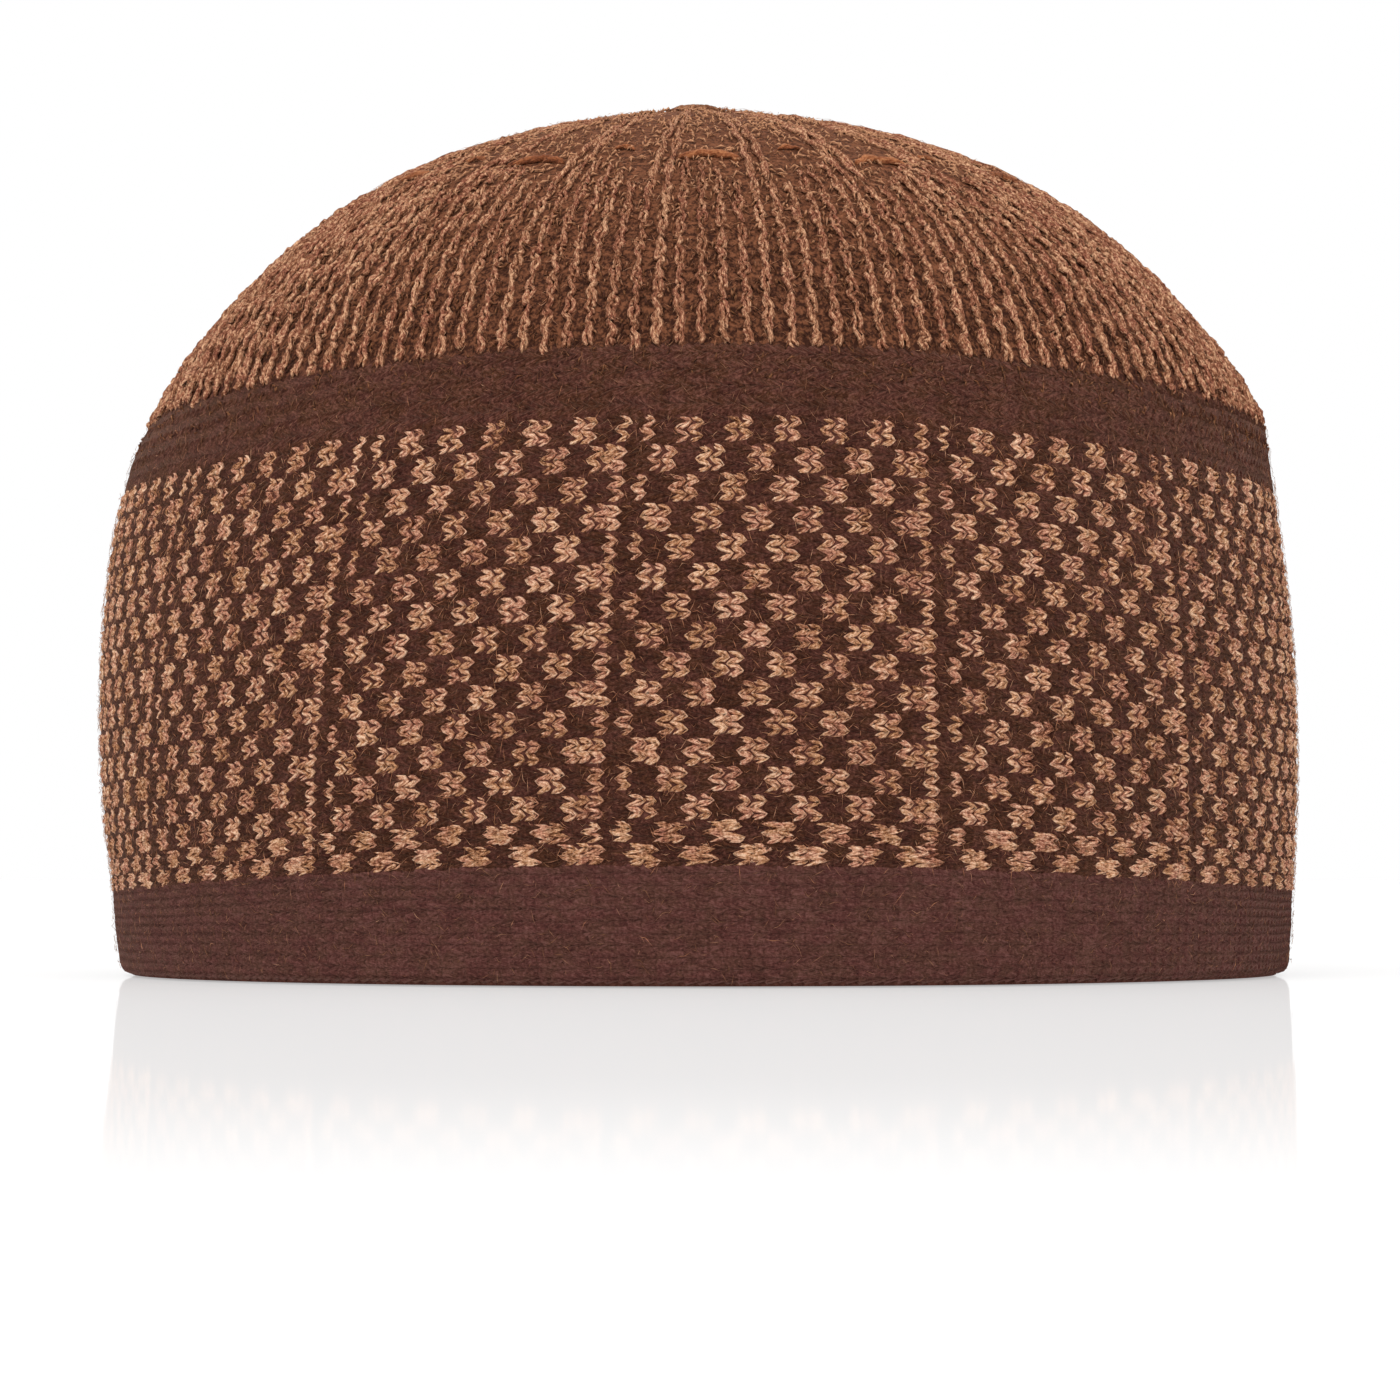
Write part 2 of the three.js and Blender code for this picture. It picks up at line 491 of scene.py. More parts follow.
def rounded(nodes, swell):
    """A smooth path through nodes that swells out of the fabric between them."""
    before = 2 * nodes[:, :1] - nodes[:, 1:2]
    after = 2 * nodes[:, -1:] - nodes[:, -2:-1]
    nodes = np.concatenate([before, nodes, after], axis=1)
    share = (np.arange(LEG_STEPS) / LEG_STEPS)[:, None]
    rise = np.array([0.0, 0.0, swell]) * 4 * share * (1 - share)
    parts = []
    for index in range(1, nodes.shape[1] - 2):
        a, b, c, d = (nodes[:, index + shift, None] for shift in (-1, 0, 1, 2))
        bend = 2 * a - 5 * b + 4 * c - d
        twist = 3 * b - 3 * c + d - a
        parts.append(b + 0.5 * share * (c - a + share * (bend + share * twist)) + rise)
    return np.concatenate([*parts, nodes[:, -2:-1]], axis=1)


def zigzags(course, foot, height, wales, rng, width, lift, run, jitter):
    """Sideways stitches of a lighter colour, one strand for the column of them in each check:
    it turns at a tip on the right of every wale and at a joint on the left between wales."""
    count = len(course)
    turns = 2 * wales + 1
    at_left = np.arange(turns) % 2 == 0
    across = np.where(at_left, -0.5, 0.46) * run
    up = 1 - np.arange(turns) / (turns - 1)
    across = across + 0.06 * jitter * rng.normal(size=(count, turns))
    across[:, [0, -1]] -= 0.06 + 0.08 * rng.random((count, 2))
    up = up + 0.03 * jitter * rng.normal(size=(count, turns)) / wales
    out = np.where(at_left, -0.22, -0.12) * MM + 0.06 * MM * rng.normal(size=(count, turns))
    out[:, [0, -1]] -= 0.12 * MM
    path = rounded(np.stack([across, up, out], axis=-1), 0.16 * MM)
    fullness = 1 + 0.09 * jitter * rng.normal(size=path.shape[:2])
    fullness[:, [1, -2]] *= 0.9
    size = width * (1 + 0.08 * rng.normal(size=(count, 1))) * fullness
    return Strands(course[:, None] + path[..., 0], foot[:, None] + height * path[..., 1],
                   lift + path[..., 2], size, rng.random((count, 1)))


def leaning(course, foot, end, turns, width, tone, rng):
    """Long stripes up the crown that lean left and right by turns, as their stitches do."""
    count = len(course)
    share = np.linspace(0.0, 1.0, turns) + 0.22 / turns * rng.normal(size=(count, turns))
    side = np.where((np.arange(turns) + rng.integers(0, 2, (count, 1))) % 2 == 0, -1.0, 1.0)
    drift = np.cumsum(rng.normal(size=(count, turns)), axis=1) / turns
    aside = side * (0.14 + 0.06 * rng.normal(size=(count, turns))) + 0.4 * drift
    out = 0.1 * MM * rng.normal(size=(count, turns)) - 0.1 * MM
    path = rounded(np.stack([aside, share, out], axis=-1), 0.2 * MM)
    distance = foot[:, None] + (end - foot)[:, None] * path[..., 1]
    narrow = np.clip(FABRIC.radius_at(distance) / FABRIC.radius_at(foot[:1]), 0.3, 1.0) ** 0.7
    fullness = narrow * (1 + 0.1 * rng.normal(size=distance.shape))
    fullness[:, [1, -2]] *= 0.8
    fade = 0.05 * smooth_share(FABRIC.radius_at(distance), *STRIPES_FADE)
    return Strands(course[:, None] + 0.5 + path[..., 0], distance, STRIPE_LIFT + path[..., 2],
                   width * fullness, tone + 0.5 * rng.random((count, 1)) - fade)


# ---- Finishes ----


def linear(red, green, blue):
    """A colour of a screen, from 0 to 255, as the light it stands for."""
    values = (channel / 255 for channel in (red, green, blue))
    light = [v / 12.92 if v <= 0.04045 else ((v + 0.055) / 1.055) ** 2.4 for v in values]
    return (*light, 1.0)


class NodeSheet:
    """Adds and links the nodes of one material or node group, from left to right."""

    def __init__(self, tree):
        self.tree = tree
        self.column = 0

    def add(self, kind, inputs=None, **settings):
        """A new node, with its settings and what goes into its inputs."""
        node = self.tree.nodes.new(kind)
        node.location = (220 * self.column, 0)
        self.column += 1
        for name, value in settings.items():
            setattr(node, name, value)
        self.feed(node, inputs or {})
        return node

    def feed(self, node, inputs):
        """Sets each input that gets a plain value, and links the others to what they get. An
        input is told by its name or number."""
        for name, value in inputs.items():
            if isinstance(value, (int, float, tuple)):
                node.inputs[name].default_value = value
            else:
                self.tree.links.new(value, node.inputs[name])

    def noise(self, vector, stretch, detail, scale=1.0):
        mapping = self.add("ShaderNodeMapping", {"Vector": vector, "Scale": stretch})
        node = self.add("ShaderNodeTexNoise", {
            "Vector": mapping.outputs["Vector"],
            "Scale": scale,
            "Detail": detail,
            "Roughness": 0.6,
        })
        return node.outputs["Fac"]

    def math(self, operation, first, second, clamp=False):
        node = self.add("ShaderNodeMath", {0: first, 1: second}, operation=operation,
                        use_clamp=clamp)
        return node.outputs["Value"]

    def share(self, value, start, slope, clamp=True):
        """How far a value is past its start, times a slope, and unless told otherwise kept
        from 0 to 1."""
        return self.math("MULTIPLY", self.math("SUBTRACT", value, start), slope, clamp)

    def blend(self, first, first_part, second, second_part):
        """The sum of so much of the first value and so much of the second."""
        return self.math("ADD", self.math("MULTIPLY", first, first_part),
                         self.math("MULTIPLY", second, second_part))

    def mix(self, share, first, second):
        """A colour between two."""
        node = self.add("ShaderNodeMix", data_type="RGBA")
        colours = [place for place, socket in enumerate(node.inputs) if socket.type == "RGBA"]
        self.feed(node, dict(zip(("Factor", *colours), (share, first, second))))
        return next(socket for socket in node.outputs if socket.type == "RGBA")

    def bump(self, height, strength, distance):
        node = self.add("ShaderNodeBump", {"Height": height, "Strength": strength,
                                           "Distance": distance})
        return node.outputs["Normal"]


YARN_COLOURS = ("Dark", "Middle", "Tint", "Light")


def wool_group():
    """Fibres of a woollen yarn: streaks along it, specks of lint on it, a tone for each leg, and
    a tint that comes and goes over the fabric."""
    name = "wool_fibres"
    if name in bpy.data.node_groups:
        return bpy.data.node_groups[name]
    group = bpy.data.node_groups.new(name, "ShaderNodeTree")
    for way, kind, sockets in (("INPUT", "Vector", ("Place",)),
                               ("INPUT", "Float", ("Tone",)),
                               ("INPUT", "Color", YARN_COLOURS),
                               ("INPUT", "Float", ("Contrast",)),
                               ("OUTPUT", "Color", ("Color",)),
                               ("OUTPUT", "Float", ("Height",))):
        for socket in sockets:
            group.interface.new_socket(socket, in_out=way, socket_type=f"NodeSocket{kind}")
    sheet = NodeSheet(group)
    source = sheet.add("NodeGroupInput").outputs
    cap = sheet.add("ShaderNodeTexCoord").outputs["Object"]
    streaks = sheet.noise(source["Place"], (1.2, 6.0, 6.0), 3.0)
    fine = sheet.noise(source["Place"], (1.6, 9.0, 9.0), 2.0, 1.6)
    lint = sheet.noise(cap, (2600, 2600, 1900), 2.0)
    patches = sheet.noise(cap, (330, 330, 420), 1.0)
    mixed = sheet.blend(streaks, 0.55, lint, 0.45)
    spread = sheet.share(mixed, 0.5, source["Contrast"], clamp=False)
    toned = sheet.share(source["Tone"], 0.5, 0.5, clamp=False)
    level = sheet.math("ADD", sheet.math("ADD", spread, toned), 0.5, clamp=True)
    low = sheet.math("MULTIPLY", level, 2.0, clamp=True)
    high = sheet.share(level, 0.5, 2.0)
    tinted = sheet.share(patches, 0.38, 4.0)
    middle = sheet.mix(tinted, source["Middle"], source["Tint"])
    body = sheet.mix(low, source["Dark"], middle)
    colour = sheet.mix(high, body, source["Light"])
    height = sheet.blend(streaks, 0.5, sheet.math("ADD", fine, lint), 0.3)
    sheet.add("NodeGroupOutput", {"Color": colour, "Height": height})
    return group


def new_material(name):
    """A new material, the sheet of its nodes and its shader."""
    material = bpy.data.materials.new(name)
    material.use_nodes = True
    tree = material.node_tree
    return material, NodeSheet(tree), tree.nodes["Principled BSDF"]


def shell_finish(name, wall, crown):
    """The fabric under the stitches, and inside them the flecked wrong side of the knitting:
    brown in the wall, and woolly where both yarns are carried through the crown. The wall and the
    crown each have a dark and a light colour. On the crown the colour is darker low down and
    lighter towards the top: painted shade between the stripes low down, and painted light from
    above near the top."""
    material, sheet, shader = new_material(name)
    place = sheet.add("ShaderNodeTexCoord").outputs["Object"]
    tufts = sheet.noise(place, (1150, 1150, 950), 1.0)
    wisps = sheet.noise(place, (2900, 2900, 2300), 3.0)
    both = sheet.blend(tufts, 0.5, wisps, 0.5)
    level = sheet.share(both, 0.42, 5.5)
    height = sheet.add("ShaderNodeSeparateXYZ", {"Vector": place}).outputs["Z"]
    above = sheet.share(height, SHOULDER, 150.0)
    # Painted shade and light: darker low on the crown, lighter towards its top.
    painted_shade_and_light = sheet.share(height, 106.0 * MM, 11.0, clamp=False)
    crown_level = sheet.math("ADD", level, painted_shade_and_light, clamp=True)
    colour = sheet.mix(above, sheet.mix(level, *wall), sheet.mix(crown_level, *crown))
    sheet.feed(shader, {
        "Base Color": colour,
        "Normal": sheet.bump(both, 0.9, 0.5 * MM),
        "Roughness": 0.92,
        "Specular IOR Level": 0.1,
    })
    return material


# Each yarn: its dark colour, its middle, the tint that comes and goes, and its light, as a
# screen's red, green and blue, then its contrast and its sheen. A middle with a name is a
# colour that the user sets.
WOOLS = {
    "brown_wool": ((42, 18, 12), "brown", (74, 42, 26), (116, 74, 62), 3.4, 0.12),
    "hem_wool": ((56, 28, 26), (88, 50, 45), (86, 54, 44), (116, 76, 70), 3.2, 0.09),
    "tan_wool": ((88, 46, 28), "tan", (204, 138, 112), (254, 214, 180), 4.2, 0.0),
    "crown_brown_wool": ((76, 42, 32), (126, 78, 54), (130, 84, 52), (208, 152, 114), 3.0, 0.1),
    "crown_tan_wool": ((88, 48, 32), (160, 106, 77), (162, 100, 77), (234, 184, 144), 4.2, 0.02),
    "rust_wool": ((84, 46, 32), (150, 88, 56), (142, 80, 50), (190, 126, 84), 3.0, 0.1),
    "hair_brown_wool": ((104, 64, 48), (150, 100, 76), (150, 104, 72), (196, 146, 116), 1.0, 0.0),
    "hair_tan_wool": ((150, 98, 66), (200, 140, 100), (202, 134, 100), (244, 200, 162), 1.0, 0.0),
}


def wool(name):
    """The finish of a woollen yarn, made once and shared by the pieces that ask for it."""
    if name in bpy.data.materials:
        return bpy.data.materials[name]
    *colours, contrast, sheen = WOOLS[name]
    sizes = bpy.context.scene.kufi_sizes
    colours = [(*getattr(sizes, colour), 1.0) if isinstance(colour, str) else linear(*colour)
               for colour in colours]
    material, sheet, shader = new_material(name)
    place = sheet.add("ShaderNodeAttribute", attribute_name="yarn_place")
    tone = sheet.add("ShaderNodeAttribute", attribute_name="tone")
    fibres = sheet.add("ShaderNodeGroup", {
        "Place": place.outputs["Vector"],
        "Tone": tone.outputs["Fac"],
        **dict(zip(YARN_COLOURS, colours)),
        "Contrast": contrast,
    }, node_tree=wool_group())
    sheet.feed(shader, {
        "Base Color": fibres.outputs["Color"],
        "Normal": sheet.bump(fibres.outputs["Height"], 1.0, 0.3 * MM),
        "Roughness": 0.88,
        "Specular IOR Level": 0.08,
        "Sheen Weight": sheen,
        "Sheen Roughness": 0.45,
        "Sheen Tint": (0.9, 0.6, 0.42, 1.0),
    })
    return material


# ---- Pattern ----


def check_is_tan(course, row):
    """Rows are counted from 1, downwards."""
    odd = row % 2 == 1
    in_gore = course % COURSES_PER_GORE
    pair = (in_gore % 4 < 2) == odd
    return (in_gore != 0) & ((in_gore == COURSES_PER_GORE - 1) | pair)


def course_waver(course):
    """How far each course has slipped up or down, so that the rows aren't ruled lines."""
    rng = np.random.default_rng(7)
    slow = sum(
        rng.normal() * np.sin(2 * math.pi * (turns * course / COURSES + rng.random()))
        for turns in (3, 7, 11, 19, 31)
    )
    each = rng.normal(size=COURSES)[course.astype(int)]
    return (0.07 * slow + 0.07 * each) * MM


def pair_spread(course, row):
    """How far a tan course stands off its place, since tan stitches spread over brown ones:
    -1 for the left one of a pair, and 1 for the right one."""
    in_gore = course % COURSES_PER_GORE
    single = (in_gore == COURSES_PER_GORE - 1) | ((in_gore == 1) & (row % 2 == 1))
    return np.where(single, 0.0, np.where(in_gore % 2 == 0, -1.0, 1.0))


def wales_between(foot, top, wales):
    """The stitches of all wales between two heights: the course, the wale and the middle of
    each, and how tall one is."""
    low = FABRIC.at_height(foot)
    height = (FABRIC.at_height(top) - low) / wales
    course, wale = np.divmod(np.arange(COURSES * wales), wales)
    return course, wale, low + (wale + 0.5) * height + course_waver(course), height


def plain_stitches(foot, top, wales, width, rng):
    """A stripe of plain brown stitches between two heights."""
    course, _, middle, height = wales_between(foot, top, wales)
    return stitches(course + 0.5, middle, height, rng, width, GROUND)


def wall_stitches(yarn):
    """The stitches of the checks and the plain band over them, for the width of the yarn: the
    brown ones, then the tan ones of the low rows and of the others."""
    rng = np.random.default_rng(11)
    tan = []
    brown = []

    def checked(foot, top, rows, first_row, run, jitter):
        course, wale, middle, height = wales_between(foot, top, rows * WALES_PER_ROW)
        row = first_row - wale // WALES_PER_ROW
        coloured = check_is_tan(course, row)
        brown.append(stitches(course[~coloured] + 0.5, middle[~coloured], height, rng,
                              yarn * GROUND_YARNS, GROUND))
        # Painted shade: the brown stitches among the checks are darkened for the shadow of the
        # tan stitches beside them.
        brown[-1].tone -= PAINTED_SHADE_TONE
        coloured &= wale % WALES_PER_ROW == 0
        spread = 0.03 * pair_spread(course[coloured], row[coloured])
        tall = height * WALES_PER_ROW * CHECK_SQUEEZE
        foot = middle[coloured] + height * (WALES_PER_ROW - 1) / 2 - tall / 2
        tan.append(zigzags(course[coloured] + 0.5 + spread, foot, tall, WALES_PER_ROW, rng,
                           yarn * CHECK_YARNS, GROUND + CHECK_RISE, run, jitter))

    checked(HEM_TOP, CHECKS_FOOT, LOW_ROWS, CHECK_ROWS + LOW_ROWS, 1.6, 2.4)
    checked(CHECKS_FOOT, CHECKS_TOP, CHECK_ROWS, CHECK_ROWS, 1.1, 1.0)
    brown.append(plain_stitches(CHECKS_TOP, BAND_TOP, BAND_WALES, yarn * BAND_YARNS, rng))
    return joined(brown), tan


def nearest_ridge(course):
    """How many courses each course stands from the middle of its nearest ridge."""
    gap = COURSES / RIDGES
    return (course - RIDGE_OFFSET + gap / 2) % gap - gap / 2


def rope_end(course):
    """How far up the fabric the stripe of each course runs: to just under the ridge, one after
    another."""
    outward = np.where(course < COURSES / 2, -1.0, 1.0)
    step = np.clip(0.5 - outward * nearest_ridge(course) / 6.0, 0.0, 1.0)
    return FABRIC.at_radius(RIDGE_RADIUS) - (1.5 + 7.5 * step**2) * MM


def lower_stripes(rng):
    """The tan courses of the crown below its ridges, with where each starts and ends."""
    course = np.arange(1, COURSES, 2)
    foot = FABRIC.at_height(BAND_TOP) + 0.3 * MM * rng.normal(size=len(course))
    return course, foot, rope_end(course)


def upper_stripes(rng):
    """The tan courses that run on between the ridges towards the nub."""
    course = np.arange(1, COURSES, 2)
    course = course[np.abs(nearest_ridge(course)) > COURSES / RIDGES / 2 - 2.0]
    end = FABRIC.at_radius(NUB_RADIUS + (3.0 + 14.0 * rng.random(len(course)) ** 2) * MM)
    return course, rope_end(course) - 1.0 * MM, end


def far_end(course, distance, length, heading):
    """The course and the distance where a short strand ends that sets out at an angle."""
    across = length * np.cos(heading) / FABRIC.stitch_width(distance)
    end = np.clip(distance + length * np.sin(heading), 0.5 * MM, FABRIC.length)
    return course + across, end


def tufts(count, rng, width):
    """Short wisps of both yarns that lie every way between the stripes of the crown, darker low
    down and lighter further up: painted shade between the stripes low down, and painted light
    from above near the top."""
    radius = BODY_RADIUS * np.sqrt(rng.random(count))
    distance = FABRIC.at_radius(np.maximum(radius, 2.0 * MM))
    course = np.floor(rng.random(count) * COURSES / 2) * 2 + 0.5 + 0.36 * rng.normal(size=count)
    length = (1.2 + 1.8 * rng.random(count)) * MM
    heading = math.pi / 2 + 0.75 * rng.normal(size=count)
    end = far_end(course, distance, length, heading)
    bow = 0.2 * length * rng.normal(size=count)
    # Painted shade low on the crown and painted light near its top.
    lighter = 1.6 * smooth_share(radius, *TUFTS_LIGHTEN) - 0.6
    return legs((course, distance, TUFT_LIFT), (*end, TUFT_LIFT),
                (0.3 + 0.35 * rng.random(count)) * MM, bow,
                width * (0.8 + 0.5 * rng.random(count)), rng.random(count) + lighter, HAIR)


def ridge_arcs(rng, width):
    """Short-row ridges: thick arcs that close off a group of stripes and droop at their ends.
    The wide ones stand in the middle of a gore and the short ones between two."""
    gap = COURSES / RIDGES
    ridge = np.arange(RIDGES)
    wide = ridge % 2 == 0
    share = np.linspace(-1.0, 1.0, 13)
    reach = np.where(wide, 0.38, 0.16) * gap * (1 + 0.08 * rng.normal(size=RIDGES))
    middle = RIDGE_OFFSET + ridge * gap + 0.4 * rng.normal(size=RIDGES)
    at = FABRIC.at_radius(RIDGE_RADIUS - np.where(wide, 0.0, 3.0) * MM)
    course = middle[:, None] + reach[:, None] * share
    droop = np.where(wide, 1.8, 0.5)[:, None] * MM
    distance = at[:, None] - droop * share**2 + 0.15 * MM * rng.normal(size=course.shape)
    lift = -0.15 * MM - 0.4 * MM * share**4
    fullness = np.where(wide, 1.0, 0.5)[:, None] * (1 - 0.5 * share**4)
    return Strands(course, distance, lift, width * fullness, rng.random((RIDGES, 1)))


# ---- Pieces ----


def deselect_all():
    if bpy.context.mode != "OBJECT":
        bpy.ops.object.mode_set(mode="OBJECT")
    bpy.ops.object.select_all(action="DESELECT")


def select_foot(piece):
    """Selects the ring of points that the piece stands on."""
    bpy.ops.object.mode_set(mode="OBJECT")
    for point in piece.data.vertices:
        point.select = abs(point.co.z) <= 0.001 * MM
    bpy.ops.object.mode_set(mode="EDIT")


def draw_rings(rings, last):
    """Extrudes the selected ring through each radius, height and lean in turn, then closes it
    to a point."""
    for radius, height, lean in rings:
        rise = (lean - last[2], 0.0, height - last[1])
        bpy.ops.mesh.extrude_region_move(TRANSFORM_OT_translate={"value": rise})
        growth = radius / last[0]
        bpy.ops.transform.resize(value=(growth, growth, 1.0), center_override=(lean, 0.0, height))
        last = (radius, height, lean)
    bpy.ops.mesh.merge(type="CENTER")


def rings_under(distance, depth):
    """Rings so deep under the face of the fabric, as radii, heights and leans."""
    radius, height, lean, out, up = FABRIC.at(distance, *MEASURES)
    radius = radius - depth * out
    height = np.maximum(height - depth * up, 0.0)
    keep = radius > SMALLEST_RING
    return list(zip(radius[keep], height[keep], lean[keep]))


def outer_rings():
    """Rings just under the face of the fabric, from the fold to the top."""
    return rings_under(np.linspace(0.0, FABRIC.length, OUTER_RINGS + 1)[1:-1], SHELL_SINK)


def inner_rings():
    """Rings of the inside, up the folded hem, over its edge and on under the crown."""
    side = FABRIC.radius_at(FABRIC.at_height(FOLD_HEIGHT)) - HEM_WALL
    lean = SECTIONS[0][3] * MM
    hem = [(side + 0.35 * MM, 0.45 * MM, lean), (side, 1.8 * MM, lean)]
    for height in np.linspace(4.0 * MM, HEM_HEIGHT, 5):
        distance = FABRIC.at_height(height)
        hem.append((float(FABRIC.radius_at(distance)) - HEM_WALL, float(height), lean))
    start = FABRIC.at_height(HEM_HEIGHT + 1.2 * MM)
    return hem + rings_under(np.linspace(start, FABRIC.length, INNER_RINGS)[:-1], WALL)


class KUFI_OT_fabric_shell(bpy.types.Operator):
    """Builds the closed shell of the fabric, with the folded hem and the open hollow."""

    bl_idname = "kufi.fabric_shell"
    bl_label = "Fabric shell"

    def execute(self, context):
        deselect_all()
        foot = (FABRIC.radius_at(0.0) - 0.4 * MM, 0.0, SECTIONS[0][3] * MM)
        bpy.ops.mesh.primitive_circle_add(vertices=context.scene.kufi_sizes.shell_sides,
                                          radius=foot[0], location=(foot[2], 0.0, foot[1]))
        shell = context.object
        shell.name = "fabric_shell"
        bpy.ops.object.transform_apply(location=True, rotation=True, scale=True)
        bpy.ops.object.mode_set(mode="EDIT")
        bpy.ops.mesh.select_all(action="SELECT")
        bpy.ops.transform.resize(value=(1.0, DEPTH_RATIO, 1.0))
        draw_rings(outer_rings(), foot)
        select_foot(shell)
        draw_rings(inner_rings(), foot)
        bpy.ops.mesh.select_all(action="SELECT")
        bpy.ops.mesh.normals_make_consistent(inside=False)
        bpy.ops.object.mode_set(mode="OBJECT")
        bpy.ops.object.shade_smooth_by_angle(angle=math.radians(60))
        wall = (linear(72, 40, 32), linear(102, 63, 53))
        crown = (linear(56, 30, 20), linear(128, 80, 55))
        settle(shell, shell_finish("shell_knit", wall, crown))
        return {"FINISHED"}


class KUFI_OT_hem(bpy.types.Operator):
    """Knits the plain hem."""

    bl_idname = "kufi.hem"
    bl_label = "Plain hem"

    def execute(self, context):
        rng = np.random.default_rng(5)
        width = context.scene.kufi_sizes.yarn_width
        hem = plain_stitches(HEM_FOOT, HEM_TOP, HEM_WALES, width * HEM_YARNS, rng)
        yarn_piece("hem_knit", hem, FLAT_SIDES, "hem_wool")
        return {"FINISHED"}


class KUFI_OT_wall(bpy.types.Operator):
    """Knits the checked wall and the plain band above it."""

    bl_idname = "kufi.wall"
    bl_label = "Checked wall"

    def execute(self, context):
        brown, (low_tan, tan) = wall_stitches(context.scene.kufi_sizes.yarn_width)
        yarn_piece("wall_ground", brown, FLAT_SIDES, "brown_wool")
        front = np.abs(tan.course[:, 1] - COURSES / 2) < COURSES / 4
        for name, strands in (("wall_checks_front", tan.chosen(front)),
                              ("wall_checks_back", tan.chosen(~front)),
                              ("low_checks", low_tan)):
            yarn_piece(name, strands, THREE_SIDES, "tan_wool", plies=2)
        return {"FINISHED"}


class KUFI_OT_crown(bpy.types.Operator):
    """Knits the striped crown, the wisps between its stripes and its short-row ridges."""

    bl_idname = "kufi.crown"
    bl_label = "Striped crown"

    def execute(self, context):
        rng = np.random.default_rng(23)
        width = context.scene.kufi_sizes.yarn_width
        for name, places, turns, tone in (("crown_stripes", lower_stripes, 29, 0.25),
                                          ("crown_upper_stripes", upper_stripes, 11, 0.4)):
            stripes = leaning(*places(rng), turns, width * STRIPE_YARNS, tone, rng)
            yarn_piece(name, stripes, THREE_SIDES, "crown_tan_wool",
                       plies=2, twist=0.4, ply_radius=0.28)
        wisps = tufts(TUFTS, rng, width * TUFT_YARNS)
        yarn_piece("crown_tufts", wisps, THREE_SIDES, "crown_brown_wool")
        ridges = ridge_arcs(rng, width * RIDGE_YARNS)
        yarn_piece("crown_ridges", ridges, FOUR_SIDES, "rust_wool",
                   plies=2, twist=1.2)
        return {"FINISHED"}


class KUFI_OT_nub(bpy.types.Operator):
    """Gathers the top into its small nub: thick loops of yarn drawn to the middle."""

    bl_idname = "kufi.nub"
    bl_label = "Gathered nub"

    def execute(self, context):
        width = context.scene.kufi_sizes.yarn_width * NUB_YARNS
        rng = np.random.default_rng(31)
        count = 2 * GORES
        course = np.arange(count) * COURSES / count
        outer = FABRIC.at_radius(NUB_RADIUS * 1.15) + 0.3 * MM * rng.normal(size=count)
        inner = FABRIC.at_radius(0.7 * MM)
        loops = legs((course, outer, -0.4 * MM), (course + 2, inner, -0.1 * MM), 0.6 * MM, 0.0,
                     width, rng.random(count), ROUND_LEG)
        yarn_piece("gathered_nub", loops, FOUR_SIDES, "crown_brown_wool")
        return {"FINISHED"}


def hair_strands(count, rng, width, plain_share, stand):
    """Loose hairs: thin, a few millimetres long, mostly lying along the face. plain_share tells
    how many of them the plain stripes have, against the checks, and stand how far a hair's end
    may rise."""
    tries = count * 6
    distance = HAIR_FOOT + rng.random(tries) * (FABRIC.length - HAIR_FOOT)
    height = FABRIC.height_at(distance)
    plain = (height < HEM_TOP) | ((height > CHECKS_TOP) & (height < BAND_TOP))
    share = np.where(plain, plain_share, np.where(height > BAND_TOP, 0.7, 1.0))
    keep = rng.random(tries) * FABRIC.radius.max() < FABRIC.radius_at(distance) * share
    distance = distance[keep][:count]
    count = len(distance)
    course = rng.random(count) * COURSES
    length = (0.8 + 2.4 * rng.random(count) ** 2) * MM
    heading = rng.random(count) * 2 * math.pi
    rise = 0.05 * MM + stand * rng.random(count) ** 3
    bow = 0.25 * length * rng.normal(size=count) * np.cos(heading)
    return legs((course, distance, 0.0), (*far_end(course, distance, length, heading), rise),
                0.3 * MM * rng.random(count), bow, width, rng.random(count), HAIR)


class KUFI_OT_hairs(bpy.types.Operator):
    """Raises the loose hairs of the wool, brown ones and tan ones."""

    bl_idname = "kufi.hairs"
    bl_label = "Loose hairs"

    def execute(self, context):
        sizes = context.scene.kufi_sizes
        rng = np.random.default_rng(41)
        for colour, plain_share, stand in (("brown", 0.9, 0.3 * MM), ("tan", 0.04, 0.4 * MM)):
            hairs = hair_strands(sizes.hairs // 2, rng, sizes.hair_width, plain_share, stand)
            yarn_piece(f"{colour}_hairs", hairs, THREE_SIDES, f"hair_{colour}_wool")
        return {"FINISHED"}


# ---- Stage ----

CAMERA_DISTANCE = 0.7825
CAMERA_HEIGHT = 17.4 * MM
CAMERA_ASIDE = 0.23 * MM
CAMERA_PITCH = math.radians(1.848)
CAMERA_LENS = 128.6
SENSOR_WIDTH = 36.0

# How strongly the floor shines near the cap, and where that begins and ends to fade.
SHINE = 0.38
SHINE_START = -0.36
SHINE_END = -0.66


def floor_finish():
    """A pale floor whose shine fades with the distance in front of the cap."""
    material, sheet, shader = new_material("pale_floor")
    place = sheet.add("ShaderNodeTexCoord").outputs["Object"]
    parts = sheet.add("ShaderNodeSeparateXYZ", {"Vector": place})
    fade = sheet.add("ShaderNodeMapRange", {
        "Value": parts.outputs["Y"],
        "From Min": SHINE_END,
        "From Max": SHINE_START,
        "To Max": SHINE,
    }, interpolation_type="SMOOTHSTEP")
    sheet.feed(shader, {
        "Coat Weight": fade.outputs["Result"],
        "Coat Roughness": 0.04,
        "Coat IOR": 1.5,
        "Base Color": (0.4, 0.4, 0.4, 1.0),
        "Roughness": 0.9,
        "Specular IOR Level": 0.0,
        "Emission Color": (1.0, 1.0, 1.0, 1.0),
        "Emission Strength": 0.62,
    })
    return material


